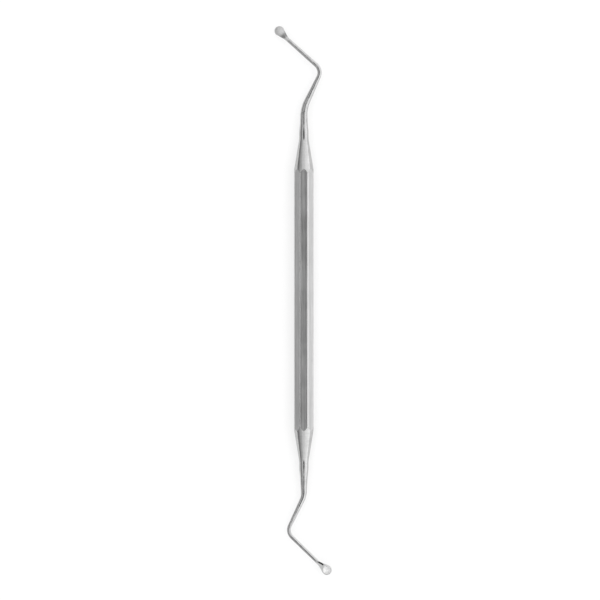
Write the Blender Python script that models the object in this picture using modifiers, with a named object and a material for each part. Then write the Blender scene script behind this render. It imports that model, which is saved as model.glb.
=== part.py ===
"""A double-ended bone curette with 3 mm bowls, turned, bent and ground from one stainless steel bar.

Metres, +Z up. The instrument lies on the underside flat of its grip, with its length along Y and
both ends bent in the level plane through the bar's axis. The origin is the middle of that flat.
Seen from above, the end at +Y turns its bowl down and shows its domed back, and the end at -Y
turns its bowl up.
"""

import math

import bmesh
import bpy
import numpy as np
from mathutils import Matrix, Vector

# Grip: an octagonal bar, turned to a cone and a short round collar at each end.
GRIP_LENGTH = 0.078
GRIP_ACROSS_FLATS = 0.0060
GRIP_SIDES = 8
GRIP_EDGE_ROUND = 0.00020
CONE_LENGTH = 0.011
CONE_FOOT_RADIUS = 0.008
COLLAR_DIAMETER = 0.00286
COLLAR_LENGTH = 0.0018
COLLAR_BLEND = 0.0020
SHANK_DIAMETER = 0.00242

# Bowl, the same at both ends. Runs and lengths are measured back from its centre.
BOWL_DIAMETER = 0.0030
BOWL_DEPTH = 0.00090
BOWL_WALL = 0.00035
RIM_LAND = 0.00024
FACE_RISE = 0.00042
FACE_RUN = 0.0018
BACK_RUN = 0.0022
NECK_LENGTH = 0.0038
NECK_FLARE = math.radians(15.5)
NECK_SET_RADIUS = 0.006

# End with its bowl turned down, at +Y. Lengths run from the cone's foot, between the corners of
# the bent centreline, to the bowl's centre. Diameters are at the root bend, elbow and neck.
DOWN_ROOT_LENGTH = 0.0095
DOWN_ARM_LENGTH = 0.0130
DOWN_REACH_LENGTH = 0.0177
DOWN_ROOT_BEND = math.radians(25.2)
DOWN_ELBOW_BEND = math.radians(73.3)
DOWN_NECK_SET = math.radians(4.0)
DOWN_ROOT_BEND_RADIUS = 0.0112
DOWN_ELBOW_RADIUS = 0.0032
DOWN_BEND_DIAMETER = 0.00204
DOWN_ELBOW_DIAMETER = 0.00132
DOWN_NECK_DIAMETER = 0.00120

# End with its bowl turned up, at -Y, measured in the same way.
UP_ROOT_LENGTH = 0.0109
UP_ARM_LENGTH = 0.0123
UP_REACH_LENGTH = 0.0169
UP_ROOT_BEND = math.radians(25.7)
UP_ELBOW_BEND = math.radians(71.7)
UP_NECK_SET = math.radians(-3.5)
UP_ROOT_BEND_RADIUS = 0.0065
UP_ELBOW_RADIUS = 0.0032
UP_BEND_DIAMETER = 0.00166
UP_ELBOW_DIAMETER = 0.00116
UP_NECK_DIAMETER = 0.00108

# Fineness of the faceted surface.
RING_POINTS = 32
ARC_STEP = math.radians(5.5)
STRAIGHT_STEP = 0.0030
BLEND_STEPS = 6
NECK_RINGS = 10
BOWL_RINGS = 20
BALL_RINGS = 24
EDGE_SEGMENTS = 3
WELD_DISTANCE = 1e-6

STEEL_COLOUR = (0.62, 0.62, 0.62, 1.0)
STEEL_ROUGHNESS = 0.28
SHARP_ANGLE = math.radians(28.0)
LEVEL_SLOPE = 0.01

AXIS_HEIGHT = GRIP_ACROSS_FLATS / 2
GRIP_CORNER_RADIUS = AXIS_HEIGHT / math.cos(math.pi / GRIP_SIDES)
BAR_END = GRIP_LENGTH / 2 + CONE_LENGTH + COLLAR_LENGTH + COLLAR_BLEND
BOWL_RADIUS = BOWL_DIAMETER / 2
BACK_DEPTH = BOWL_DEPTH + BOWL_WALL
UP = Vector((0.0, 0.0, 1.0))


def ease(share):
    """Smooth step from 0 to 1."""
    share = min(max(share, 0.0), 1.0)
    return share * share * (3.0 - 2.0 * share)


def bar_profile():
    """(radius, height) down the outer side of the turned bar, from one shank to the other. The
    cones run on past the grip's corners, so that the flats are cut from full round stock."""
    shank = SHANK_DIAMETER / 2
    collar = COLLAR_DIAMETER / 2
    stock = GRIP_CORNER_RADIUS + GRIP_EDGE_ROUND
    foot = GRIP_LENGTH / 2 + CONE_LENGTH
    slope = math.atan2(GRIP_CORNER_RADIUS - collar, CONE_LENGTH)
    fillet_start = foot + CONE_FOOT_RADIUS * math.tan(slope / 2)
    half = []
    for k in range(BLEND_STEPS + 1):
        share = k / BLEND_STEPS
        half.append((shank + (collar - shank) * ease(share), BAR_END - COLLAR_BLEND * share))
    for k in range(BLEND_STEPS + 1):
        angle = slope * k / BLEND_STEPS
        radius = collar + CONE_FOOT_RADIUS * (1.0 - math.cos(angle))
        half.append((radius, fillet_start - CONE_FOOT_RADIUS * math.sin(angle)))
    half.append((stock, foot - (stock - collar) / math.tan(slope)))
    return half + [(radius, -height) for radius, height in reversed(half)]


class Centreline:
    """A level path from the origin along +Y, walked in straights and bends and kept as stations."""

    def __init__(self):
        self.distance = 0.0
        self.point = Vector((0.0, 0.0, 0.0))
        self.heading = Vector((0.0, 1.0, 0.0))
        self.stations = []
        self.keep()

    def keep(self):
        self.stations.append((self.distance, self.point.copy(), self.heading.copy()))

    def go_straight(self, length):
        count = math.ceil(length / STRAIGHT_STEP)
        for _ in range(count):
            self.point += self.heading * length / count
            self.distance += length / count
            self.keep()

    def bend(self, angle, radius):
        """Turns by the angle, clockwise from above where it is positive, and gives the distance at
        the middle of the bend."""
        start = self.distance
        count = math.ceil(abs(angle) / ARC_STEP)
        step = abs(angle) / count
        half_turn = Matrix.Rotation(-math.copysign(step / 2, angle), 3, "Z")
        for _ in range(count):
            self.heading.rotate(half_turn)
            self.point += self.heading * 2 * radius * math.sin(step / 2)
            self.heading.rotate(half_turn)
            self.distance += radius * step
            self.keep()
        return (start + self.distance) / 2


class Section:
    """A cross-section of the working end: one half-ellipse towards the bowl's face and one towards
    its back, on a common width that may stand off the centreline by the rise."""

    def __init__(self, centre, heading, half_width, face_height, back_depth, rise=0.0):
        self.centre = centre
        self.heading = heading
        self.half_width = half_width
        self.face_height = face_height
        self.back_depth = back_depth
        self.rise = rise

    def points(self, face):
        """The section's points. face is the direction in which the bowl opens."""
        side = self.heading.cross(face)
        made = []
        for i in range(RING_POINTS):
            angle = 2 * math.pi * i / RING_POINTS
            height = self.face_height if i < RING_POINTS / 2 else self.back_depth
            offset = face * (self.rise + height * math.sin(angle))
            made.append(self.centre + side * self.half_width * math.cos(angle) + offset)
        return made


class WorkingEnd:
    """A tapered shank with two bends and its bowl, laid out from the end of the bar along +Y."""

    def __init__(self, legs, turns, bend_radii, diameters):
        root, arm, reach = legs
        root_bend, elbow_bend, neck_set = turns
        root_radius, elbow_radius = bend_radii
        root_tangent = root_radius * math.tan(root_bend / 2)
        elbow_tangent = elbow_radius * math.tan(elbow_bend / 2)
        neck_tangent = NECK_SET_RADIUS * math.tan(abs(neck_set) / 2)
        path = Centreline()
        path.go_straight(root - COLLAR_LENGTH - COLLAR_BLEND - root_tangent)
        root_corner = path.bend(root_bend, root_radius)
        path.go_straight(arm - root_tangent - elbow_tangent)
        elbow_start = path.distance
        path.bend(-elbow_bend, elbow_radius)
        path.go_straight(reach - elbow_tangent - NECK_LENGTH - neck_tangent)
        path.bend(neck_set, NECK_SET_RADIUS)
        self.stations = path.stations
        self.taper_marks = [0.0, root_corner, elbow_start, path.distance]
        self.taper_radii = [diameter / 2 for diameter in diameters]
        self.neck_radius = self.taper_radii[-1]
        self.direction = path.heading
        self.bowl_centre = path.point + path.heading * NECK_LENGTH

    def shank_sections(self):
        made = []
        for distance, point, heading in self.stations:
            radius = float(np.interp(distance, self.taper_marks, self.taper_radii))
            made.append(Section(point, heading, radius, radius, radius))
        return made

    def half_width(self, along):
        """Half the head's width: it flares from the neck, then follows the round bowl."""
        tangent = -BOWL_RADIUS * math.sin(NECK_FLARE)
        if along >= tangent:
            return math.sqrt(BOWL_RADIUS**2 - along**2)
        run = tangent + NECK_LENGTH
        share = (along + NECK_LENGTH) / run
        growth = BOWL_RADIUS * math.cos(NECK_FLARE) - self.neck_radius
        slope = run * math.tan(NECK_FLARE)
        return self.neck_radius + (3 * growth - slope) * share**2 + (slope - 2 * growth) * share**3

    def head_section(self, along):
        """The section at a distance from the bowl's centre, positive towards the tip."""
        flatness = ease((along + NECK_LENGTH) / (NECK_LENGTH - FACE_RUN))
        rise = FACE_RISE * flatness
        if along < 0.0:
            swell = ease((along + BACK_RUN) / BACK_RUN)
            back = self.neck_radius + (BACK_DEPTH - FACE_RISE - self.neck_radius) * swell
            back_depth = back + rise
        else:
            back_depth = BACK_DEPTH * math.sqrt(1.0 - (along / BOWL_RADIUS) ** 2)
        centre = self.bowl_centre + self.direction * along
        face_height = self.neck_radius * (1.0 - flatness)
        width = self.half_width(along)
        return Section(centre, self.direction, width, face_height, back_depth, rise)

    def head_sections(self):
        """Sections spaced evenly along the neck, and then by angle round the bowl."""
        neck = NECK_LENGTH - BOWL_RADIUS
        alongs = [neck * k / NECK_RINGS - NECK_LENGTH for k in range(1, NECK_RINGS + 1)]
        for k in range(1, BOWL_RINGS):
            alongs.append(-BOWL_RADIUS * math.cos(math.pi * k / BOWL_RINGS))
        return [self.head_section(along) for along in alongs]

    def add_to(self, shape, place, face):
        """Lofts the end into the mesh, with its bowl opening towards face, open at the root."""
        local_face = place.to_3x3().transposed() @ face
        rings = []
        for section in self.shank_sections() + self.head_sections():
            points = section.points(local_face)
            rings.append([shape.verts.new(place @ point) for point in points])
        following = [(i + 1) % RING_POINTS for i in range(RING_POINTS)]
        for near, far in zip(rings, rings[1:]):
            for i, j in enumerate(following):
                shape.faces.new((near[i], near[j], far[j], far[i]))
        tip = self.bowl_centre + self.direction * BOWL_RADIUS + local_face * FACE_RISE
        pole = shape.verts.new(place @ tip)
        for i, j in enumerate(following):
            shape.faces.new((rings[-1][i], rings[-1][j], pole))


def new_collection(name):
    made = bpy.data.collections.new(name)
    bpy.context.scene.collection.children.link(made)
    return made


def evaluated_mesh(source):
    graph = bpy.context.evaluated_depsgraph_get()
    return bpy.data.meshes.new_from_object(source.evaluated_get(graph))


def turned_bar(collection):
    """The mesh of the turned bar, about the Y axis and open at both ends."""
    points = [(radius, 0.0, height) for radius, height in bar_profile()]
    profile = bpy.data.meshes.new("bar_profile")
    profile.from_pydata(points, [(i, i + 1) for i in range(len(points) - 1)], [])
    bar = bpy.data.objects.new("bar", profile)
    collection.objects.link(bar)
    turning = bar.modifiers.new("turning", "SCREW")
    turning.steps = RING_POINTS
    turning.render_steps = RING_POINTS
    turned = evaluated_mesh(bar)
    turned.transform(Matrix.Rotation(-math.pi / 2, 4, "X"))
    bpy.data.objects.remove(bar, do_unlink=True)
    return turned


def blank(bar, ends, collection):
    """The bar with both bent ends welded on, before its flats and bowls are cut. ends holds each
    end with its place and the direction that its bowl faces."""
    shape = bmesh.new()
    shape.from_mesh(bar)
    shape.transform(Matrix.Translation(UP * AXIS_HEIGHT))
    for end, place, face in ends:
        end.add_to(shape, place, face)
    bmesh.ops.remove_doubles(shape, verts=shape.verts, dist=WELD_DISTANCE)
    bmesh.ops.recalc_face_normals(shape, faces=shape.faces)
    mesh = bpy.data.meshes.new("curette")
    shape.to_mesh(mesh)
    shape.free()
    body = bpy.data.objects.new("curette", mesh)
    collection.objects.link(body)
    return body


def as_cutter(cutter, name, collection):
    cutter.name = name
    cutter.hide_render = True
    cutter.display_type = "WIRE"
    for owner in list(cutter.users_collection):
        owner.objects.unlink(cutter)
    collection.objects.link(cutter)
    return cutter


def flats_cutter(collection):
    """A sleeve whose bore is the grip's section, with one flat underneath and rounded corners."""
    bpy.ops.mesh.primitive_cylinder_add(
        vertices=GRIP_SIDES,
        radius=GRIP_CORNER_RADIUS,
        depth=GRIP_LENGTH + 2 * CONE_LENGTH,
        end_fill_type="NOTHING",
        location=UP * AXIS_HEIGHT,
        rotation=(math.pi / 2, math.pi + math.pi / GRIP_SIDES, 0.0),
    )
    sleeve = bpy.context.object
    corners = sleeve.modifiers.new("corners", "BEVEL")
    corners.width = GRIP_EDGE_ROUND
    corners.segments = EDGE_SEGMENTS
    wall = sleeve.modifiers.new("wall", "SOLIDIFY")
    wall.thickness = AXIS_HEIGHT
    wall.offset = 1.0
    return as_cutter(sleeve, "grip_flats_cutter", collection)


def bowl_cutter(name, end, place, face, collection):
    """The ball that grinds a bowl to its depth and leaves an even land round its mouth."""
    mouth = BOWL_RADIUS - RIM_LAND
    radius = (mouth**2 + BOWL_DEPTH**2) / (2 * BOWL_DEPTH)
    bpy.ops.mesh.primitive_uv_sphere_add(
        segments=RING_POINTS,
        ring_count=BALL_RINGS,
        radius=radius,
        location=place @ end.bowl_centre + face * (FACE_RISE + radius - BOWL_DEPTH),
    )
    return as_cutter(bpy.context.object, name, collection)


def cut(body, cutters):
    for cutter in cutters:
        removal = body.modifiers.new(cutter.name, "BOOLEAN")
        removal.operation = "DIFFERENCE"
        removal.object = cutter
    finished = evaluated_mesh(body)
    body.modifiers.clear()
    body.data = finished


def on_grip(face):
    """Whether a face is one of the grip's flats or rounded corners, and not of the turned cones."""
    middle = face.calc_center_median()
    return abs(face.normal.y) < LEVEL_SLOPE and abs(middle.y) < (GRIP_LENGTH + CONE_LENGTH) / 2


def shade(body):
    """Smooth round the shanks and bowls, with sharp edges at the rims and round the flats."""
    body.data.shade_smooth()
    body.data.set_sharp_from_angle(angle=SHARP_ANGLE)
    shape = bmesh.new()
    shape.from_mesh(body.data)
    for edge in shape.edges:
        if len({on_grip(face) for face in edge.link_faces}) > 1:
            edge.smooth = False
    shape.to_mesh(body.data)
    shape.free()
    even = body.modifiers.new("flat_faces_stay_flat", "WEIGHTED_NORMAL")
    even.keep_sharp = True


def stainless_steel():
    material = bpy.data.materials.new("stainless_steel")
    material.use_nodes = True
    shader = material.node_tree.nodes["Principled BSDF"]
    shader.inputs["Base Color"].default_value = STEEL_COLOUR
    shader.inputs["Metallic"].default_value = 1.0
    shader.inputs["Roughness"].default_value = STEEL_ROUGHNESS
    return material


def down_end():
    return WorkingEnd(
        (DOWN_ROOT_LENGTH, DOWN_ARM_LENGTH, DOWN_REACH_LENGTH),
        (DOWN_ROOT_BEND, DOWN_ELBOW_BEND, DOWN_NECK_SET),
        (DOWN_ROOT_BEND_RADIUS, DOWN_ELBOW_RADIUS),
        (SHANK_DIAMETER, DOWN_BEND_DIAMETER, DOWN_ELBOW_DIAMETER, DOWN_NECK_DIAMETER),
    )


def up_end():
    return WorkingEnd(
        (UP_ROOT_LENGTH, UP_ARM_LENGTH, UP_REACH_LENGTH),
        (UP_ROOT_BEND, UP_ELBOW_BEND, UP_NECK_SET),
        (UP_ROOT_BEND_RADIUS, UP_ELBOW_RADIUS),
        (SHANK_DIAMETER, UP_BEND_DIAMETER, UP_ELBOW_DIAMETER, UP_NECK_DIAMETER),
    )


def main():
    for old in list(bpy.data.objects):
        bpy.data.objects.remove(old, do_unlink=True)
    parts = new_collection("bone_curette")
    cutters = new_collection("cutters")
    axis = Matrix.Translation(UP * AXIS_HEIGHT)
    bar_end = Matrix.Translation((0.0, BAR_END, 0.0))
    half_turn = Matrix.Rotation(math.pi, 4, "Z")
    down = (down_end(), axis @ bar_end, -UP)
    up = (up_end(), axis @ half_turn @ bar_end, UP)
    curette = blank(turned_bar(parts), (down, up), parts)
    cut(
        curette,
        (
            flats_cutter(cutters),
            bowl_cutter("down_bowl_cutter", *down, cutters),
            bowl_cutter("up_bowl_cutter", *up, cutters),
        ),
    )
    shade(curette)
    curette.data.materials.append(stainless_steel())


main()
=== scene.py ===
"""Looks of a double-ended bone curette: an octagonal grip with turned cones, and at each end a
doubly bent shank with a small ground bowl.

Metres, +Z up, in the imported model's frame. The sizes are the part's own, built here with finer
facets. Three things differ a little: the rims are rounded, the collar's step fades out further up
the shank, and the head's flat face starts further back on the neck.
"""
import math

import bmesh
import bpy
import numpy as np
from mathutils import Matrix, Vector


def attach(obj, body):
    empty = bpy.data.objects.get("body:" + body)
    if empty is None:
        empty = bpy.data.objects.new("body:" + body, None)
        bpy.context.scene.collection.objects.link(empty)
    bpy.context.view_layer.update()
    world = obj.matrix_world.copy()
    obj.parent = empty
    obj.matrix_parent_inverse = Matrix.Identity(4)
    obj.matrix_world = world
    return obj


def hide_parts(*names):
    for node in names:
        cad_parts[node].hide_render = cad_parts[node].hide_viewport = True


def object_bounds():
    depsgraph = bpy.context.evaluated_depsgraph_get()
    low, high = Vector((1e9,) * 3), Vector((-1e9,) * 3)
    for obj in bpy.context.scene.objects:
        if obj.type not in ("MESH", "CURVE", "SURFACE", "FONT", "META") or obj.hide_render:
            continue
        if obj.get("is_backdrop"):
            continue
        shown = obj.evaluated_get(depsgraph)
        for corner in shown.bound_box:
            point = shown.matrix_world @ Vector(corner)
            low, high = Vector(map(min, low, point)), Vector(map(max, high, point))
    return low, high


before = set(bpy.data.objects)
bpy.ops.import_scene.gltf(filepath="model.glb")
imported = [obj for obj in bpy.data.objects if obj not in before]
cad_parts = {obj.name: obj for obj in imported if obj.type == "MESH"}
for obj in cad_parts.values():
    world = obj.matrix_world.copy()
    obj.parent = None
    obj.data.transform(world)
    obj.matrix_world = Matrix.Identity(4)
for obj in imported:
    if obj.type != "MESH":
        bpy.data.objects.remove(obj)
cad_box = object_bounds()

# Grip: an octagonal bar, turned to a cone and a short round collar at each end. Past the collar
# comes a blend, and the collar's step fades out over the first stretch of the shank.
GRIP_LENGTH = 0.078
GRIP_ACROSS_FLATS = 0.0060
GRIP_SIDES = 8
GRIP_EDGE_ROUND = 0.00020
CONE_LENGTH = 0.011
CONE_FOOT_RADIUS = 0.008
COLLAR_DIAMETER = 0.00286
COLLAR_LENGTH = 0.0018
COLLAR_BLEND = 0.0020
COLLAR_FADE = 0.0032
SHANK_DIAMETER = 0.00242

# Bowl, the same at both ends. Starts, runs and lengths are measured back from its centre.
BOWL_DIAMETER = 0.0030
BOWL_DEPTH = 0.00090
BOWL_WALL = 0.00035
RIM_LAND = 0.00024
RIM_EDGE_ROUND = 0.00007
FACE_RISE = 0.00042
FACE_START = 0.0047
FACE_RUN = 0.0032
BACK_RUN = 0.0022
NECK_LENGTH = 0.0038
NECK_FLARE = math.radians(15.5)
NECK_SET_RADIUS = 0.006

# Ends: three legs from the cone's foot to the bowl's centre, measured between the corners of the
# bent centreline, then the bends, their radii, and the diameters from the bar to the neck.
DOWN_LEGS = (0.0095, 0.0130, 0.0177)
DOWN_TURNS = (math.radians(25.2), math.radians(73.3), math.radians(4.0))
DOWN_BEND_RADII = (0.0112, 0.0032)
DOWN_DIAMETERS = (SHANK_DIAMETER, 0.00204, 0.00132, 0.00120)
UP_LEGS = (0.0109, 0.0123, 0.0169)
UP_TURNS = (math.radians(25.7), math.radians(71.7), math.radians(-3.5))
UP_BEND_RADII = (0.0065, 0.0032)
UP_DIAMETERS = (SHANK_DIAMETER, 0.00166, 0.00116, 0.00108)

# Fineness of the surface.
BAR_STEPS = 128
RING_POINTS = 96
ARC_STEP = math.radians(1.5)
STRAIGHT_STEP = 0.0006
FACE_STEP = 0.00015
BLEND_STEPS = 14
NECK_RINGS = 30
BOWL_RINGS = 10
BALL_RINGS = 64
CORNER_SEGMENTS = 8
RIM_SEGMENTS = 4
LAYOUT_SHARES = 8

# Limits by which edges and faces are told apart.
WELD_DISTANCE = 1e-7
ON_PLANE = 1e-7
ON_BALL = 2e-6
LEVEL_SLOPE = 0.01
RIM_FROM = math.radians(32.0)
RIM_FULL = math.radians(62.0)
CAP_ANGLE = math.radians(66.0)

MM_PER_METRE = 1000.0
AXIS_HEIGHT = GRIP_ACROSS_FLATS / 2
GRIP_CORNER_RADIUS = AXIS_HEIGHT / math.cos(math.pi / GRIP_SIDES)
BAR_END = GRIP_LENGTH / 2 + CONE_LENGTH + COLLAR_LENGTH + COLLAR_BLEND
JOINT_LINE = BAR_END - COLLAR_BLEND - COLLAR_LENGTH / 3
BOWL_RADIUS = BOWL_DIAMETER / 2
BACK_DEPTH = BOWL_DEPTH + BOWL_WALL
ROUND_RUN = BOWL_RADIUS * math.sin(NECK_FLARE)
FLARE_RUN = NECK_LENGTH - ROUND_RUN
MOUTH_RADIUS = BOWL_RADIUS - RIM_LAND
BALL_RADIUS = (MOUTH_RADIUS**2 + BOWL_DEPTH**2) / (2 * BOWL_DEPTH)
UP = Vector((0.0, 0.0, 1.0))
AXIS = Matrix.Translation(UP * AXIS_HEIGHT)


def ease(share):
    """Smooth step from 0 to 1."""
    share = min(max(share, 0.0), 1.0)
    return share * share * (3.0 - 2.0 * share)


def bar_profile():
    """(radius, height) along the turned bar from one joint line to the other, with both ends
    closed. The cones run on past the grip's corners, for the flats to be cut from round stock."""
    collar = COLLAR_DIAMETER / 2
    stock = GRIP_CORNER_RADIUS + GRIP_EDGE_ROUND
    foot = GRIP_LENGTH / 2 + CONE_LENGTH
    slope = math.atan2(GRIP_CORNER_RADIUS - collar, CONE_LENGTH)
    fillet_start = foot + CONE_FOOT_RADIUS * math.tan(slope / 2)
    half = [(0.0, JOINT_LINE), (collar, JOINT_LINE)]
    for k in range(BLEND_STEPS + 1):
        angle = slope * k / BLEND_STEPS
        radius = collar + CONE_FOOT_RADIUS * (1.0 - math.cos(angle))
        half.append((radius, fillet_start - CONE_FOOT_RADIUS * math.sin(angle)))
    half.append((stock, foot - (stock - collar) / math.tan(slope)))
    return half + [(radius, -height) for radius, height in reversed(half)]


class Centreline:
    """A level path from the joint line, walked in straights and bends and kept as stations."""

    def __init__(self):
        self.distance = JOINT_LINE - BAR_END
        self.point = Vector((0.0, self.distance, 0.0))
        self.heading = Vector((0.0, 1.0, 0.0))
        self.stations = []
        self.keep()

    def keep(self):
        """Notes the distance walked, the point and the heading as a station."""
        self.stations.append((self.distance, self.point.copy(), self.heading.copy()))

    def go_straight(self, length, step=STRAIGHT_STEP):
        """Walks straight on in steps no longer than the one given."""
        count = math.ceil(length / step)
        for _ in range(count):
            self.point += self.heading * length / count
            self.distance += length / count
            self.keep()

    def bend(self, angle, radius):
        """Turns by the angle, clockwise from above where it is positive, and gives the distance at
        the middle of the bend."""
        start = self.distance
        count = math.ceil(abs(angle) / ARC_STEP)
        step = abs(angle) / count
        half_turn = Matrix.Rotation(-math.copysign(step / 2, angle), 3, "Z")
        for _ in range(count):
            self.heading.rotate(half_turn)
            self.point += self.heading * 2 * radius * math.sin(step / 2)
            self.heading.rotate(half_turn)
            self.distance += radius * step
            self.keep()
        return (start + self.distance) / 2


class WorkingEnd:
    """A collar, a tapered shank with two bends and its bowl, laid out from the bar along +Y."""

    def __init__(self, legs, turns, bend_radii, diameters):
        root, arm, reach = legs
        root_bend, elbow_bend, neck_set = turns
        root_radius, elbow_radius = bend_radii
        root_tangent = root_radius * math.tan(root_bend / 2)
        elbow_tangent = elbow_radius * math.tan(elbow_bend / 2)
        neck_tangent = NECK_SET_RADIUS * math.tan(abs(neck_set) / 2)
        path = Centreline()
        path.go_straight(COLLAR_LENGTH / 3)
        path.go_straight(COLLAR_FADE, COLLAR_FADE / BLEND_STEPS)
        path.go_straight(root - COLLAR_LENGTH - COLLAR_FADE - root_tangent)
        root_corner = path.bend(root_bend, root_radius)
        path.go_straight(arm - root_tangent - elbow_tangent)
        elbow_start = path.distance
        path.bend(-elbow_bend, elbow_radius)
        lead = FACE_START - NECK_LENGTH
        path.go_straight(reach - elbow_tangent - NECK_LENGTH - neck_tangent - lead)
        path.go_straight(lead, FACE_STEP)
        path.bend(neck_set, NECK_SET_RADIUS)
        self.stations = list(path.stations)
        self.taper_marks = [0.0, root_corner, elbow_start, path.distance]
        self.taper_radii = [diameter / 2 for diameter in diameters]
        self.neck_radius = self.taper_radii[-1]
        self.direction = path.heading.copy()
        self.bowl_centre = path.point + path.heading * NECK_LENGTH
        path.go_straight(NECK_LENGTH + BOWL_RADIUS)
        self.centreline = path.stations

    def shank_radius(self, distance):
        """The taper's radius, with the collar's step faded out a little way up the shank."""
        step = (COLLAR_DIAMETER - SHANK_DIAMETER) / 2
        fade = ease(1.0 - (distance + COLLAR_BLEND) / COLLAR_FADE)
        return float(np.interp(distance, self.taper_marks, self.taper_radii)) + step * fade

    def half_width(self, along):
        """Half the head's width: it flares from the neck, then follows the round bowl."""
        if along >= -ROUND_RUN:
            return math.sqrt(BOWL_RADIUS**2 - along**2)
        share = (along + NECK_LENGTH) / FLARE_RUN
        growth = BOWL_RADIUS * math.cos(NECK_FLARE) - self.neck_radius
        slope = FLARE_RUN * math.tan(NECK_FLARE)
        return self.neck_radius + (3 * growth - slope) * share**2 + (slope - 2 * growth) * share**3

    def section(self, along, radius, half_width):
        """(half-width, height towards the face, depth towards the back, rise) at a distance from
        the bowl's centre, up to that centre, where the steel would be round with this radius."""
        flatness = ease((along + FACE_START) / (FACE_START - FACE_RUN))
        rise = FACE_RISE * flatness
        swell = ease((along + BACK_RUN) / BACK_RUN)
        back = radius + (BACK_DEPTH - FACE_RISE - radius) * swell
        return half_width, radius * (1.0 - flatness), back + rise, rise

    def rings(self, face):
        """Rings of points from the joint line to the bowl's centre. face is the direction in which
        the bowl opens."""
        made = []
        for distance, point, heading in self.stations:
            radius = self.shank_radius(distance)
            along = distance - self.stations[-1][0] - NECK_LENGTH
            made.append(ring(point, heading, face, self.section(along, radius, radius)))
        alongs = [FLARE_RUN * k / NECK_RINGS - NECK_LENGTH for k in range(1, NECK_RINGS + 1)]
        alongs += [ROUND_RUN * (k / BOWL_RINGS - 1.0) for k in range(1, BOWL_RINGS + 1)]
        for along in alongs:
            centre = self.bowl_centre + self.direction * along
            section = self.section(along, self.neck_radius, self.half_width(along))
            made.append(ring(centre, self.direction, face, section))
        return made

    def add_tip(self, shape, place, face, last):
        """Sweeps the last ring's back half round the bowl's centre, and closes the flat face."""
        half = RING_POINTS // 2
        quarter = RING_POINTS // 4
        side = self.direction.cross(face)
        centre = self.bowl_centre + face * FACE_RISE
        pole = last[half + quarter]
        near = [last[-j % RING_POINTS] for j in range(quarter)]
        far = [last[half + j] for j in range(quarter)]
        meridians = [near]
        for k in range(1, half):
            turn = math.pi * k / half
            outward = side * math.cos(turn) + self.direction * math.sin(turn)
            made = []
            for j in range(quarter):
                down = math.pi / 2 * j / quarter
                offset = outward * BOWL_RADIUS * math.cos(down) - face * BACK_DEPTH * math.sin(down)
                made.append(shape.verts.new(place @ (centre + offset)))
            meridians.append(made)
        meridians.append(far)
        for one, other in zip(meridians, meridians[1:]):
            for a, b, c, d in zip(one, one[1:], other[1:], other):
                shape.faces.new((a, b, c, d))
            shape.faces.new((one[-1], pole, other[-1]))
        rim = [meridian[0] for meridian in meridians]
        shape.faces.new(rim + [last[i] for i in range(half - 1, 0, -1)])

    def add_to(self, shape, place, face):
        """Lofts the end into the mesh, with its bowl opening towards face."""
        local_face = place.to_3x3().transposed() @ face
        lofted = []
        for points in self.rings(local_face):
            lofted.append([shape.verts.new(place @ point) for point in points])
        shape.faces.new(lofted[0])
        for near, far in zip(lofted, lofted[1:]):
            for i in range(RING_POINTS):
                j = (i + 1) % RING_POINTS
                shape.faces.new((near[i], near[j], far[j], far[i]))
        self.add_tip(shape, place, local_face, lofted[-1])


def ring(centre, heading, face, section):
    """Points round a section: one half-ellipse towards the bowl's face and one towards its back,
    on a common width that stands off the centreline by the rise."""
    half_width, face_height, back_depth, rise = section
    side = heading.cross(face)
    made = []
    for i in range(RING_POINTS):
        angle = 2 * math.pi * i / RING_POINTS
        height = face_height if i < RING_POINTS / 2 else back_depth
        offset = face * (rise + height * math.sin(angle))
        made.append(centre + side * half_width * math.cos(angle) + offset)
    return made


def new_object(name, mesh):
    """An object with this mesh, linked into the scene."""
    made = bpy.data.objects.new(name, mesh)
    bpy.context.scene.collection.objects.link(made)
    return made


def bake(body):
    """Makes the modifiers' result the object's own mesh."""
    graph = bpy.context.evaluated_depsgraph_get()
    finished = bpy.data.meshes.new_from_object(body.evaluated_get(graph))
    body.modifiers.clear()
    body.data = finished


def dress(body, materials):
    """Gives a piece its materials. They come before its faces are sorted into slots, because
    baking puts every face of a piece that has none into the first."""
    for material in materials:
        body.data.materials.append(material)


def cut_away(body, cutter):
    """Cuts the cutter's shape out of a body and removes the cutter."""
    removal = body.modifiers.new(cutter.name, "BOOLEAN")
    removal.operation = "DIFFERENCE"
    removal.object = cutter
    bake(body)
    bpy.data.objects.remove(cutter, do_unlink=True)


def turned_bar():
    """The bar in the round, lying along Y on the grip's axis."""
    points = [(radius, 0.0, height) for radius, height in bar_profile()]
    profile = bpy.data.meshes.new("bar_profile")
    profile.from_pydata(points, [(i, i + 1) for i in range(len(points) - 1)], [])
    bar = new_object("grip", profile)
    turning = bar.modifiers.new("turning", "SCREW")
    turning.steps = BAR_STEPS
    turning.render_steps = BAR_STEPS
    turning.use_merge_vertices = True
    turning.merge_threshold = WELD_DISTANCE
    bake(bar)
    bar.data.transform(AXIS @ Matrix.Rotation(-math.pi / 2, 4, "X"))
    shape = bmesh.new()
    shape.from_mesh(bar.data)
    bmesh.ops.recalc_face_normals(shape, faces=shape.faces)
    shape.to_mesh(bar.data)
    shape.free()
    return bar


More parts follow.
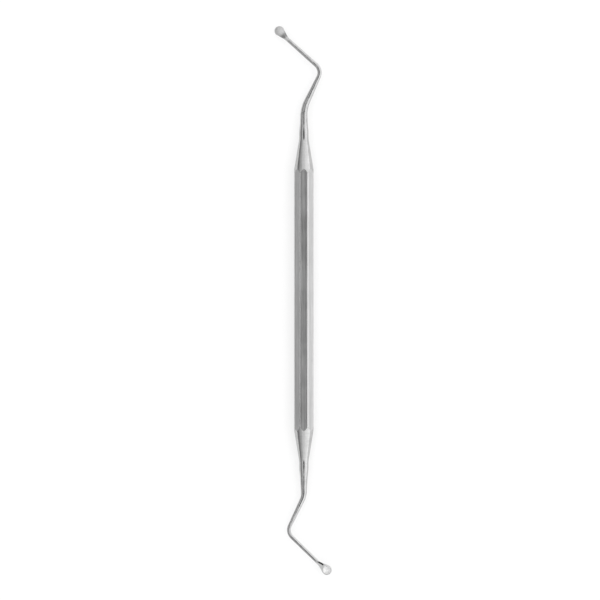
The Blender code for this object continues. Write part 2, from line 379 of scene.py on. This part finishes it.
def flats_cutter():
    """A sleeve whose bore is the grip's section, with one flat underneath and rounded corners."""
    bpy.ops.mesh.primitive_cylinder_add(
        vertices=GRIP_SIDES,
        radius=GRIP_CORNER_RADIUS,
        depth=GRIP_LENGTH + 2 * CONE_LENGTH,
        end_fill_type="NOTHING",
        location=UP * AXIS_HEIGHT,
        rotation=(math.pi / 2, math.pi + math.pi / GRIP_SIDES, 0.0),
    )
    sleeve = bpy.context.object
    corners = sleeve.modifiers.new("corners", "BEVEL")
    corners.width = GRIP_EDGE_ROUND
    corners.segments = CORNER_SEGMENTS
    wall = sleeve.modifiers.new("wall", "SOLIDIFY")
    wall.thickness = AXIS_HEIGHT
    wall.offset = 1.0
    return sleeve


def on_flat(face):
    """Whether a face is one of the grip's flats or rounded corners."""
    middle = face.calc_center_median()
    return abs(face.normal.y) < LEVEL_SLOPE and abs(middle.y) < (GRIP_LENGTH + CONE_LENGTH) / 2


def make_grip(materials):
    """The grip between the joint lines, with its flats in the second material."""
    grip = turned_bar()
    cut_away(grip, flats_cutter())
    dress(grip, materials)
    shape = bmesh.new()
    shape.from_mesh(grip.data)
    for face in shape.faces:
        face.material_index = int(on_flat(face))
    shape.to_mesh(grip.data)
    shape.free()
    return grip


def flatten_face(shape, height, face):
    """Joins the facets of the head's flat face, at this height towards face, into one."""
    level = []
    for facet in shape.faces:
        if all(abs(corner.co.dot(face) - height) < ON_PLANE for corner in facet.verts):
            level.append(facet)
    bmesh.ops.dissolve_faces(shape, faces=level)


def mark_rims(shape):
    """Marks the sharp rims for rounding, fading out where they run into the round neck. The
    hidden cap at the joint line stays sharp."""
    weights = shape.edges.layers.float.new("bevel_weight_edge")
    for edge in shape.edges:
        angle = edge.calc_face_angle(0.0)
        edge[weights] = ease((angle - RIM_FROM) / (RIM_FULL - RIM_FROM))
    for facet in shape.faces:
        if abs(facet.calc_center_median().y) < JOINT_LINE + ON_PLANE:
            for edge in facet.edges:
                edge[weights] = 0.0


def sort_hollow(shape, ball_centre):
    """Gives the faces that the ball left the second material."""
    for facet in shape.faces:
        stray = max(abs((v.co - ball_centre).length - BALL_RADIUS) for v in facet.verts)
        facet.material_index = int(stray < ON_BALL)


def make_end(name, end, place, face, materials):
    """A shank and its bowl from the joint line on, with the bowl's hollow in the second
    material."""
    bowl_centre = place @ end.bowl_centre
    shape = bmesh.new()
    end.add_to(shape, place, face)
    flatten_face(shape, (bowl_centre + face * FACE_RISE).dot(face), face)
    bmesh.ops.recalc_face_normals(shape, faces=shape.faces)
    mesh = bpy.data.meshes.new(name)
    shape.to_mesh(mesh)
    shape.free()
    body = new_object(name, mesh)
    ball_centre = bowl_centre + face * (FACE_RISE + BALL_RADIUS - BOWL_DEPTH)
    bpy.ops.mesh.primitive_uv_sphere_add(
        segments=RING_POINTS, ring_count=BALL_RINGS, radius=BALL_RADIUS, location=ball_centre
    )
    cut_away(body, bpy.context.object)
    dress(body, materials)
    shape = bmesh.new()
    shape.from_mesh(body.data)
    mark_rims(shape)
    sort_hollow(shape, ball_centre)
    shape.to_mesh(body.data)
    shape.free()
    rims = body.modifiers.new("rims", "BEVEL")
    rims.width = RIM_EDGE_ROUND
    rims.segments = RIM_SEGMENTS
    rims.limit_method = "WEIGHT"
    bake(body)
    return body


def smooth(body):
    """Smooth all over, and sharp only round the hidden end caps and between the grip's flats and
    the turned cones."""
    shape = bmesh.new()
    shape.from_mesh(body.data)
    for edge in shape.edges:
        finishes = {face.material_index for face in edge.link_faces}
        scallop = body.name == "grip" and len(finishes) > 1
        edge.smooth = not scallop and edge.calc_face_angle(0.0) < CAP_ANGLE
    for face in shape.faces:
        face.smooth = True
    shape.to_mesh(body.data)
    shape.free()
    even = body.modifiers.new("flat_faces_stay_flat", "WEIGHTED_NORMAL")
    even.keep_sharp = True
    bake(body)


# Coordinates that follow the bent instrument, for grain and marks that run along it


def path_points(stations, place):
    """The centreline's points in the level plane, and how far along the instrument each lies."""
    points = np.array([(place @ point).to_2d() for _, point, _ in stations])
    distances = np.array([distance + BAR_END for distance, _, _ in stations])
    return points, distances


def straightened(co, points, distances):
    """(across, along) of each point beside the path: its distance to the right of the walker, and
    how far the walker has come at the nearest place."""
    steps = np.diff(points, axis=0)
    lengths = np.linalg.norm(steps, axis=1)
    towards = steps / lengths[:, None]
    offsets = co[:, None, :2] - points[None, :-1]
    reached = np.clip((offsets * towards).sum(axis=2), 0.0, lengths)
    aside = offsets - reached[:, :, None] * towards
    nearest = np.linalg.norm(aside, axis=2).argmin(axis=1)
    row = np.arange(len(co))
    share = reached[row, nearest] / lengths[nearest]
    along = distances[nearest] + share * np.diff(distances)[nearest]
    gone = aside[row, nearest]
    across = gone[:, 0] * towards[nearest, 1] - gone[:, 1] * towards[nearest, 0]
    return across, along


def keep_vectors(mesh, name, values):
    """Stores one vector per vertex, in millimetres, for the materials to read."""
    layer = mesh.attributes.new(name, "FLOAT_VECTOR", "POINT")
    layer.data.foreach_set("vector", (values * MM_PER_METRE).astype(np.float32).ravel())


def lay_out(mesh, end=None, place=None, face=None):
    """Keeps "unbent", each point's place if the ends were straight, and on an end "from_bowl",
    its place across, beyond and above the middle of the bowl's mouth."""
    co = np.empty(len(mesh.vertices) * 3)
    mesh.vertices.foreach_get("co", co)
    co = co.reshape(-1, 3)
    height = co[:, 2] - AXIS_HEIGHT
    if end is None:
        keep_vectors(mesh, "unbent", np.column_stack((co[:, 0], co[:, 1], height)))
        return
    points, distances = path_points(end.centreline, place)
    across = np.empty(len(co))
    along = np.empty(len(co))
    for part in np.array_split(np.arange(len(co)), LAYOUT_SHARES):
        across[part], along[part] = straightened(co[part], points, distances)
    way = math.copysign(1.0, points[-1][1])
    keep_vectors(mesh, "unbent", np.column_stack((across * way, along * way, height)))
    beyond = along - (distances[-1] - BOWL_RADIUS)
    above = height * face.z - FACE_RISE
    keep_vectors(mesh, "from_bowl", np.column_stack((across, beyond, above)))


# Finishes, with their lengths in millimetres


RING_CELL = 9.0

# How metallic the ground hollow and the blasted satin are: their rough skin scatters the rest.
HOLLOW_METAL = 0.78
SATIN_METAL = 0.65
HOLLOW_GREY = 0.86

# Duller stretches of the shanks: the middle's distance from the middle of the grip, half the
# length, and the strength, with the length over which each fades out.
DULL_STRETCHES = ((-69.5, 3.4, 1.0), (60.0, 3.0, 0.4), (80.5, 6.0, 0.6))
DULL_FADE = 2.8

# Places on an end where one finish or painted shade gives way to the next, each from where to
# where:
# the turned root past the joint line, then, measured from the middle of the bowl's mouth, the
# satin's ragged front, the ground land beside the hollow, the band of painted shade and the flat
# face of the satin.
ROOT_FADE = (1.0, 5.0)
SATIN_FRONT = (-4.0, -3.5)
SATIN_RAGGED = 0.5
LAND_EDGE = (1.50, 1.56)
LAND_LEVEL = (-0.07, -0.03)
SHADE_BAND_BEHIND = 1.9
SHADE_BAND_RAGGED = 0.4
SHADE_BAND_FADE = (0.20, 1.25)
FACE_LEVEL = (-0.35, -0.10)

# Painted light and shade on the ground land: its grey, painted lighter at its left edge and darker
# at its right.
LAND_SHADE_SIDES = (-1.0, 1.0)
LAND_SHADE_GREYS = (0.62, 0.39)

# The polished tongue that runs on from the shank into the satin face, measured in the same way:
# how far it moves the satin's front, how low it reaches, and how sharp its edges are, then how its
# middle line moves over and its half-width grows from one place along it to another.
TONGUE_PUSH = -2.25
TONGUE_LEVEL = (-0.5, -0.2)
TONGUE_EDGE = (-0.05, 0.05)
TONGUE_SHIFT = (-4.4, -1.8, 0.04, 0.50)
TONGUE_HALF_WIDTH = (-4.2, -2.0, 0.17, 0.30)


def add(tree, kind, inputs=None, **settings):
    """A new node with its settings, and its inputs linked to sockets or set to values."""
    node = tree.nodes.new(kind)
    for name, value in settings.items():
        setattr(node, name, value)
    for name, value in (inputs or {}).items():
        if isinstance(value, bpy.types.NodeSocket):
            tree.links.new(value, node.inputs[name])
        else:
            node.inputs[name].default_value = value
    return node


def math_node(tree, operation, *values):
    """The result of one operation on sockets or values."""
    node = add(tree, "ShaderNodeMath", dict(enumerate(values)), operation=operation)
    return node.outputs[0]


def spread(tree, value, low, high, bottom=0.0, top=1.0):
    """A smooth step from bottom to top as a value goes from low to high."""
    inputs = {0: value, 1: low, 2: high, 3: bottom, 4: top}
    return add(tree, "ShaderNodeMapRange", inputs, interpolation_type="SMOOTHSTEP").outputs[0]


def noise(tree, where, detail=2.0, roughness=0.5, scale=1.0):
    """Even noise from 0 to 1, with cells one unit across unless scaled."""
    inputs = {"Vector": where, "Scale": scale, "Detail": detail, "Roughness": roughness}
    return add(tree, "ShaderNodeTexNoise", inputs).outputs["Fac"]


def divided(tree, where, x, y, z):
    """A place divided by a cell's size along each axis."""
    size = add(tree, "ShaderNodeCombineXYZ", {0: x, 1: y, 2: z}).outputs[0]
    return add(tree, "ShaderNodeVectorMath", {0: where, 1: size}, operation="DIVIDE").outputs[0]


class Effect:
    """A node group with named inputs and outputs, made once and used by several finishes."""

    def __init__(self, name, inputs, outputs):
        self.tree = bpy.data.node_groups.new(name, "ShaderNodeTree")
        for label, value in inputs.items():
            kind = "NodeSocketVector" if value is None else "NodeSocketFloat"
            socket = self.tree.interface.new_socket(name=label, in_out="INPUT", socket_type=kind)
            if value is not None:
                socket.default_value = value
        for label in outputs:
            self.tree.interface.new_socket(
                name=label, in_out="OUTPUT", socket_type="NodeSocketFloat"
            )
        self.inputs = self.tree.nodes.new("NodeGroupInput").outputs
        self.outputs = self.tree.nodes.new("NodeGroupOutput").inputs

    def give(self, label, socket):
        """Links a socket to one of the group's outputs."""
        self.tree.links.new(socket, self.outputs[label])

    def use(self, tree, **inputs):
        """Places the group in a tree with its own values, and gives its outputs."""
        return add(tree, "ShaderNodeGroup", inputs, node_tree=self.tree).outputs


def lines_effect():
    """Fine lines along the steel, left by drawing and polishing, as a height from 0 to 1."""
    effect = Effect("lengthwise_lines", {"Place": None, "Width": 0.06, "Length": 6.0}, ["Height"])
    tree = effect.tree
    width = effect.inputs["Width"]
    cells = divided(tree, effect.inputs["Place"], width, effect.inputs["Length"], width)
    effect.give("Height", spread(tree, noise(tree, cells, 3.0, 0.6), 0.25, 0.75))
    return effect


def smudges_effect():
    """Soft cloudy patches from handling and hand polishing, from 0 to 1."""
    effect = Effect("handling_smudges", {"Place": None, "Size": 2.0}, ["Mask"])
    size = effect.inputs["Size"]
    cells = divided(effect.tree, effect.inputs["Place"], size, size, size)
    effect.give("Mask", spread(effect.tree, noise(effect.tree, cells, 4.0, 0.55), 0.32, 0.68))
    return effect


def blasting_effect():
    """Overlapping shallow pits from glass beads, and the mottling of uneven blasting."""
    inputs = {"Place": None, "Pit": 0.05, "Patch": 0.45}
    effect = Effect("bead_blasting", inputs, ["Height", "Mottle"])
    tree = effect.tree
    pit = effect.inputs["Pit"]
    patch = effect.inputs["Patch"]
    cells = divided(tree, effect.inputs["Place"], pit, pit, pit)
    dents = add(tree, "ShaderNodeTexVoronoi", {"Vector": cells, "Scale": 1.0}).outputs["Distance"]
    grit = noise(tree, cells, 2.0, 0.6, 0.6)
    effect.give("Height", math_node(tree, "ADD", dents, grit))
    patches = divided(tree, effect.inputs["Place"], patch, patch, patch)
    effect.give("Mottle", spread(tree, noise(tree, patches, 4.0, 0.62), 0.34, 0.66))
    return effect


def turning_effect():
    """Rings round the bar left by the turning tool, as a height from 0 to 1. Their cells are
    wider than the bar, so that a ring stays whole."""
    effect = Effect("turning_rings", {"Place": None, "Pitch": 0.09}, ["Height"])
    tree = effect.tree
    cells = divided(tree, effect.inputs["Place"], RING_CELL, effect.inputs["Pitch"], RING_CELL)
    effect.give("Height", noise(tree, cells, 2.0, 0.5))
    return effect


def grinding_effect():
    """Rings round the bowl's axis left by the ball grinder, as a height from 0 to 1, and the
    distance from that axis."""
    effect = Effect("grinding_rings", {"Place": None, "Pitch": 0.05}, ["Height", "Radius"])
    tree = effect.tree
    place = effect.inputs["Place"]
    inputs = {0: place, 1: (1.0, 1.0, 0.0)}
    level = add(tree, "ShaderNodeVectorMath", inputs, operation="MULTIPLY").outputs[0]
    radius = add(tree, "ShaderNodeVectorMath", {0: level}, operation="LENGTH").outputs["Value"]
    axes = add(tree, "ShaderNodeSeparateXYZ", {0: place}).outputs
    turns = math_node(tree, "DIVIDE", radius, effect.inputs["Pitch"])
    drops = math_node(tree, "DIVIDE", axes["Z"], effect.inputs["Pitch"])
    cells = add(tree, "ShaderNodeCombineXYZ", {0: turns, 1: drops}).outputs[0]
    effect.give("Height", spread(tree, noise(tree, cells, 2.0, 0.5, 0.7), 0.3, 0.7))
    effect.give("Radius", radius)
    return effect


def corners_effect():
    """How near a place on the octagonal grip is to a corner, from 0 at mid-flat to 1."""
    effect = Effect("corner_wear_and_highlight", {"Place": None}, ["Mask"])
    tree = effect.tree
    axes = add(tree, "ShaderNodeSeparateXYZ", {0: effect.inputs["Place"]}).outputs
    angle = math_node(tree, "ARCTAN2", axes["Z"], axes["X"])
    sides = math_node(tree, "DIVIDE", angle, 2 * math.pi / GRIP_SIDES)
    off_middle = math_node(tree, "PINGPONG", sides, 0.5)
    effect.give("Mask", spread(tree, off_middle, 0.39, 0.49))
    return effect


LENGTHWISE_LINES = lines_effect()
HANDLING_SMUDGES = smudges_effect()
BEAD_BLASTING = blasting_effect()
TURNING_RINGS = turning_effect()
GRINDING_RINGS = grinding_effect()
CORNER_WEAR_AND_HIGHLIGHT = corners_effect()


class Finish:
    """A finish as it is built up: a grey and a roughness from 0 to 1, and a height, each a
    socket. In the finishes below each is a base value and the weight of every mark on it."""

    def __init__(self, tree, grey, roughness, height):
        self.tree = tree
        self.grey = grey
        self.roughness = roughness
        self.height = height

    def under(self, other, share):
        """This finish with the other laid over it where the share is 1."""
        mixed = []
        for below, above in (
            (self.grey, other.grey),
            (self.roughness, other.roughness),
            (self.height, other.height),
        ):
            inputs = {0: share, 2: below, 3: above}
            mixed.append(add(self.tree, "ShaderNodeMix", inputs).outputs[0])
        return Finish(self.tree, *mixed)


def sum_of(tree, base, *terms):
    """A base value plus each socket times its weight."""
    total = base
    for socket, weight in terms:
        total = math_node(tree, "MULTIPLY_ADD", socket, weight, total)
    return total


def turned(tree, place):
    """The turned and polished cones: a soft mirror with the tool's fine rings and smudges."""
    fine = LENGTHWISE_LINES.use(tree, Place=place, Width=0.05, Length=3.0)["Height"]
    rings = TURNING_RINGS.use(tree, Place=place, Pitch=0.07)["Height"]
    bands = TURNING_RINGS.use(tree, Place=place, Pitch=0.5)["Height"]
    smudge = HANDLING_SMUDGES.use(tree, Place=place, Size=2.6)["Mask"]
    return Finish(
        tree,
        sum_of(tree, 0.42, (smudge, 0.08), (fine, 0.08), (rings, 0.16), (bands, 0.08)),
        sum_of(tree, 0.05, (smudge, 0.07), (rings, 0.08), (fine, 0.04)),
        sum_of(tree, 0.0, (fine, 0.0009), (rings, 0.0012), (bands, 0.004)),
    )


def polished(tree, place, along):
    """Hand-polished round steel: a soft mirror with fine lines, smudges and slight waviness, left
    duller on a few stretches."""
    fine = LENGTHWISE_LINES.use(tree, Place=place, Width=0.05, Length=4.0)["Height"]
    streak = LENGTHWISE_LINES.use(tree, Place=place, Width=0.13, Length=1.4)["Height"]
    broad = LENGTHWISE_LINES.use(tree, Place=place, Width=0.30, Length=7.0)["Height"]
    smudge = HANDLING_SMUDGES.use(tree, Place=place, Size=1.7)["Mask"]
    wave = noise(tree, divided(tree, place, 1.6, 3.4, 1.6), 1.0)
    stretch = 0.0
    for middle, half, share in DULL_STRETCHES:
        off = math_node(tree, "ABSOLUTE", math_node(tree, "SUBTRACT", along, middle))
        worn = spread(tree, off, half, half + DULL_FADE, share, 0.0)
        stretch = math_node(tree, "ADD", stretch, worn)
    dull = math_node(tree, "MULTIPLY", stretch, sum_of(tree, 0.35, (streak, 0.65)))
    return Finish(
        tree,
        sum_of(tree, 0.37, (smudge, 0.06), (fine, 0.08), (streak, 0.26), (broad, 0.10)),
        sum_of(tree, 0.03, (smudge, 0.06), (streak, 0.08), (fine, 0.05), (dull, 0.46)),
        sum_of(tree, 0.0, (fine, 0.0012), (streak, 0.0032), (broad, 0.007), (wave, 0.020)),
    )


def drawn(tree, place):
    """The grip's flats, finely drawn along their length, worn smoother at the corners and painted
    lighter there as a highlight.
    """
    fine = LENGTHWISE_LINES.use(tree, Place=place, Width=0.05, Length=7.0)["Height"]
    broad = LENGTHWISE_LINES.use(tree, Place=place, Width=0.32, Length=30.0)["Height"]
    smudge = HANDLING_SMUDGES.use(tree, Place=place, Size=6.0)["Mask"]
    worn = CORNER_WEAR_AND_HIGHLIGHT.use(tree, Place=place)["Mask"]
    return Finish(
        tree,
        # At the corners the grey is raised as a painted highlight, and the roughness is lowered by
        # wear.
        sum_of(tree, 0.48, (broad, 0.14), (fine, 0.13), (smudge, 0.04), (worn, 0.20)),
        sum_of(tree, 0.26, (fine, 0.10), (broad, 0.06), (smudge, 0.04), (worn, -0.12)),
        sum_of(tree, 0.0, (fine, 0.0032), (broad, 0.006)),
    )


def blasted(tree, place, beyond, above):
    """Bead-blasted satin on the neck and bowl, with painted shade: a mottled band where the bowl's
    back begins is painted darker."""
    blast = BEAD_BLASTING.use(tree, Place=place, Pit=0.05, Patch=0.34)
    uneven = sum_of(tree, SHADE_BAND_BEHIND, (blast["Mottle"], SHADE_BAND_RAGGED))
    off_shade_band = math_node(tree, "ABSOLUTE", math_node(tree, "ADD", beyond, uneven))
    face = spread(tree, above, *FACE_LEVEL)
    shade_across_back = spread(tree, off_shade_band, *SHADE_BAND_FADE, 1.0, 0.0)
    shade_band = math_node(tree, "MULTIPLY", shade_across_back, math_node(tree, "SUBTRACT", 1.0, face))
    # Painted shade: the band where the bowl's back begins has its grey painted darker, in mottled
    # patches and a little all over.
    dull = math_node(tree, "MULTIPLY", shade_band, blast["Mottle"])
    shades = ((blast["Mottle"], 0.11), (blast["Height"], 0.10), (face, 0.02), (shade_band, -0.06))
    return Finish(
        tree,
        sum_of(tree, 0.44, *shades, (dull, -0.44)),
        sum_of(tree, 0.66, (blast["Mottle"], 0.10)),
        sum_of(tree, 0.0, (blast["Height"], 0.007)),
    )


def ground(tree, from_bowl, grey):
    """Freshly ground steel in and round the bowl, with the ball grinder's rings."""
    rings = GRINDING_RINGS.use(tree, Place=from_bowl, Pitch=0.05)["Height"]
    cloud = HANDLING_SMUDGES.use(tree, Place=from_bowl, Size=0.8)["Mask"]
    return Finish(
        tree,
        sum_of(tree, grey, (rings, 0.06), (cloud, 0.10)),
        sum_of(tree, 0.42, (rings, 0.12), (cloud, 0.08)),
        sum_of(tree, 0.0, (rings, 0.0014)),
    )


def steel(name):
    """A new metal material, with its tree and its two coordinates."""
    material = bpy.data.materials.new(name)
    material.use_nodes = True
    tree = material.node_tree
    tree.nodes["Principled BSDF"].inputs["Metallic"].default_value = 1.0
    place = add(tree, "ShaderNodeAttribute", attribute_name="unbent").outputs["Vector"]
    from_bowl = add(tree, "ShaderNodeAttribute", attribute_name="from_bowl").outputs["Vector"]
    return material, tree, place, from_bowl


def apply_finish(material, finish):
    """Links a finish to the material's shader."""
    tree = finish.tree
    shader = tree.nodes["Principled BSDF"]
    colour = add(tree, "ShaderNodeCombineColor", {0: finish.grey, 1: finish.grey, 2: finish.grey})
    bump = add(tree, "ShaderNodeBump", {"Distance": 1.0 / MM_PER_METRE, "Height": finish.height})
    tree.links.new(colour.outputs[0], shader.inputs["Base Color"])
    tree.links.new(finish.roughness, shader.inputs["Roughness"])
    tree.links.new(bump.outputs[0], shader.inputs["Normal"])
    return material


def polished_cone_steel():
    """Turned and polished, on the cones and collars."""
    material, tree, place, _ = steel("polished_cone_steel")
    return apply_finish(material, turned(tree, place))


def drawn_grip_steel():
    """Finely drawn, on the grip's flats and rounded corners."""
    material, tree, place, _ = steel("drawn_grip_steel")
    return apply_finish(material, drawn(tree, place))


def tongue_mask(tree, axes):
    """1 on the polished tongue that runs on from the shank into the satin face."""
    shift = spread(tree, axes["Y"], *TONGUE_SHIFT)
    aside = math_node(tree, "ABSOLUTE", math_node(tree, "ADD", axes["X"], shift))
    reach = spread(tree, axes["Y"], *TONGUE_HALF_WIDTH)
    outside = math_node(tree, "SUBTRACT", aside, reach)
    ridge = spread(tree, outside, *TONGUE_EDGE, 1.0, 0.0)
    return math_node(tree, "MULTIPLY", ridge, spread(tree, axes["Z"], *TONGUE_LEVEL))


def satin_mask(tree, place, axes):
    """1 on the blasted neck and bowl, with a ragged front that goes round the tongue."""
    ragged = noise(tree, divided(tree, place, 0.45, 0.45, 0.45))
    tongue = tongue_mask(tree, axes)
    front = sum_of(tree, axes["Y"], (ragged, SATIN_RAGGED), (tongue, TONGUE_PUSH))
    return spread(tree, front, *SATIN_FRONT)


def land_mask(tree, from_bowl, axes):
    """1 on the ground land between the hollow and the rim."""
    radius = GRINDING_RINGS.use(tree, Place=from_bowl)["Radius"]
    inside = spread(tree, radius, *LAND_EDGE, 1.0, 0.0)
    return math_node(tree, "MULTIPLY", inside, spread(tree, axes["Z"], *LAND_LEVEL))


def root_mask(tree, along):
    """1 on the shank's root, next to the joint line."""
    walked = math_node(tree, "ABSOLUTE", along)
    from_joint = math_node(tree, "SUBTRACT", walked, JOINT_LINE * MM_PER_METRE)
    return spread(tree, from_joint, *ROOT_FADE, 1.0, 0.0)


def shank_and_bowl_steel():
    """Polished along the shank, bead-blasted on the neck and bowl, and ground round the mouth."""
    material, tree, place, from_bowl = steel("shank_and_bowl_steel")
    axes = add(tree, "ShaderNodeSeparateXYZ", {0: from_bowl}).outputs
    along = add(tree, "ShaderNodeSeparateXYZ", {0: place}).outputs["Y"]
    satin = satin_mask(tree, place, axes)
    metallic = sum_of(tree, 1.0, (satin, SATIN_METAL - 1.0))
    tree.links.new(metallic, tree.nodes["Principled BSDF"].inputs["Metallic"])
    shank = polished(tree, place, along).under(turned(tree, place), root_mask(tree, along))
    head = shank.under(blasted(tree, place, axes["Y"], axes["Z"]), satin)
    # The land's grey is painted light on one side and painted shade on the other.
    land_painted_shade = spread(tree, axes["X"], *LAND_SHADE_SIDES, *LAND_SHADE_GREYS)
    land = ground(tree, from_bowl, land_painted_shade)
    return apply_finish(material, head.under(land, land_mask(tree, from_bowl, axes)))


def ground_bowl_steel():
    """The frosted hollow, which scatters the light that it gathers."""
    material, tree, _, from_bowl = steel("ground_bowl_steel")
    tree.nodes["Principled BSDF"].inputs["Metallic"].default_value = HOLLOW_METAL
    return apply_finish(material, ground(tree, from_bowl, HOLLOW_GREY))


# Pieces


DOWN_PLACE = AXIS @ Matrix.Translation((0.0, BAR_END, 0.0))
UP_PLACE = AXIS @ Matrix.Rotation(math.pi, 4, "Z") @ Matrix.Translation((0.0, BAR_END, 0.0))


def fit_to_part(piece):
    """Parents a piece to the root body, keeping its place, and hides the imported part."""
    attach(piece, "root")
    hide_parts("curette")


grip = make_grip((polished_cone_steel(), drawn_grip_steel()))
smooth(grip)
lay_out(grip.data)
fit_to_part(grip)
END_FINISHES = (shank_and_bowl_steel(), ground_bowl_steel())
for name, sizes, place, face in (
    ("down_end", (DOWN_LEGS, DOWN_TURNS, DOWN_BEND_RADII, DOWN_DIAMETERS), DOWN_PLACE, -UP),
    ("up_end", (UP_LEGS, UP_TURNS, UP_BEND_RADII, UP_DIAMETERS), UP_PLACE, UP),
):
    end = WorkingEnd(*sizes)
    piece = make_end(name, end, place, face, END_FINISHES)
    smooth(piece)
    lay_out(piece.data, end, place, face)
    fit_to_part(piece)


# Floor, light and camera


# The floor: its paint's grey, the share of it that glows white to the camera, and the level of
# that glow in the steel's reflections.
FLOOR_SIZE = 30.0
FLOOR_DROP = 0.00002
FLOOR_GREY = 0.90
FLOOR_WHITE = 0.6
FLOOR_IN_STEEL = 0.66

# The tent. Its places are heights, from 0 at the horizon to 1 overhead, and TENT_SIDES goes from
# the left wall to the right one in the same measure. Levels go from the lower place to the upper.
TENT_SIDES = (-0.05, 0.45)
LEFT_WALL = (0.10, 0.95, 0.19, 0.62)
LEFT_RIM = (0.84, 0.92, 0.0, 0.30)
RIGHT_WALL = (0.0, 0.90, 1.38, 1.05)
RIGHT_GAP = (0.04, 0.20, 0.55, 0.0)
LENS_EDGE = (0.945, 0.961)
LENS_DARK = 0.04

FILL_STRENGTH = 1.8
FILL_ANGLE = math.radians(100.0)
FILL_LEAN = math.radians(-10.0)
CAMERA_HEIGHT = 1.6
SENSOR_WIDTH = 36.0
CLIP_START = 0.01
FRAME_WIDTH = 0.186
AXIS_SHIFT = 0.0012
MIDDLE = Vector((-AXIS_SHIFT, 0.0, AXIS_HEIGHT))


def lay_floor():
    """A matt floor that shows white to the camera, a little greyer in the steel, and keeps the
    part's soft shadow."""
    bpy.ops.mesh.primitive_plane_add(size=FLOOR_SIZE, location=-UP * FLOOR_DROP)
    floor = bpy.context.object
    floor.name = "pale_floor"
    paint = bpy.data.materials.new("pale_matt_floor")
    paint.use_nodes = True
    tree = paint.node_tree
    shader = tree.nodes["Principled BSDF"]
    shader.inputs["Base Color"].default_value = (FLOOR_GREY, FLOOR_GREY, FLOOR_GREY, 1.0)
    shader.inputs["Roughness"].default_value = 1.0
    shader.inputs["Specular IOR Level"].default_value = 0.0
    rays = add(tree, "ShaderNodeLightPath").outputs
    seen = math_node(tree, "MAXIMUM", rays["Is Camera Ray"], rays["Is Glossy Ray"])
    level = sum_of(tree, 1.0, (rays["Is Glossy Ray"], FLOOR_IN_STEEL - 1.0))
    white = add(tree, "ShaderNodeEmission", {"Strength": level}).outputs[0]
    share = math_node(tree, "MULTIPLY", seen, FLOOR_WHITE)
    mixed = add(tree, "ShaderNodeMixShader", {0: share, 1: shader.outputs[0], 2: white}).outputs[0]
    tree.links.new(mixed, tree.nodes["Material Output"].inputs["Surface"])
    floor.data.materials.append(paint)
    floor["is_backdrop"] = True


def light_tent():
    """A soft tent: bright on the right above a darker gap at the horizon, dimmer on the left with
    a brighter rim overhead, and dark at the lens. The camera sees plain white."""
    world = bpy.data.worlds.new("light_tent")
    world.use_nodes = True
    bpy.context.scene.world = world
    tree = world.node_tree
    way = add(tree, "ShaderNodeTexCoord").outputs["Generated"]
    axes = add(tree, "ShaderNodeSeparateXYZ", {0: way}).outputs
    left = spread(tree, axes["Z"], *LEFT_WALL)
    rim = spread(tree, axes["Z"], *LEFT_RIM)
    right = spread(tree, axes["Z"], *RIGHT_WALL)
    gap = spread(tree, axes["Z"], *RIGHT_GAP)
    left = math_node(tree, "ADD", left, rim)
    right = math_node(tree, "SUBTRACT", right, gap)
    side = spread(tree, axes["X"], *TENT_SIDES)
    walls = add(tree, "ShaderNodeMix", {0: side, 2: left, 3: right}).outputs[0]
    lens = spread(tree, axes["Z"], *LENS_EDGE)
    tent = add(tree, "ShaderNodeMix", {0: lens, 2: walls, 3: LENS_DARK}).outputs[0]
    seen = add(tree, "ShaderNodeLightPath").outputs["Is Camera Ray"]
    shown = add(tree, "ShaderNodeMix", {0: seen, 2: tent, 3: 1.0}).outputs[0]
    background = tree.nodes["Background"]
    background.inputs["Color"].default_value = (1.0, 1.0, 1.0, 1.0)
    tree.links.new(shown, background.inputs["Strength"])


def overhead_fill():
    """A wide soft lamp overhead for the floor, kept out of the steel's reflections."""
    lamp = bpy.data.lights.new("overhead_fill", "SUN")
    lamp.energy = FILL_STRENGTH
    lamp.angle = FILL_ANGLE
    fill = bpy.data.objects.new("overhead_fill", lamp)
    fill.location = UP
    fill.rotation_euler = (0.0, FILL_LEAN, 0.0)
    fill.visible_glossy = False
    bpy.context.scene.collection.objects.link(fill)


def set_camera():
    """Straight above, with the whole length in the frame at the height of the grip's axis."""
    height = CAMERA_HEIGHT - AXIS_HEIGHT
    lens = bpy.data.cameras.new("camera")
    lens.sensor_width = SENSOR_WIDTH
    lens.lens = SENSOR_WIDTH * height / FRAME_WIDTH
    lens.clip_start = CLIP_START
    camera = bpy.data.objects.new("camera", lens)
    camera.location = MIDDLE + UP * height
    bpy.context.scene.collection.objects.link(camera)
    bpy.context.scene.camera = camera


lay_floor()
light_tent()
overhead_fill()
set_camera()
bpy.context.scene.view_settings.view_transform = "Standard"

bpy.context.view_layer.update()
sizes = {"cad": [list(corner) for corner in cad_box], "visual": [list(c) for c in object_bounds()]}
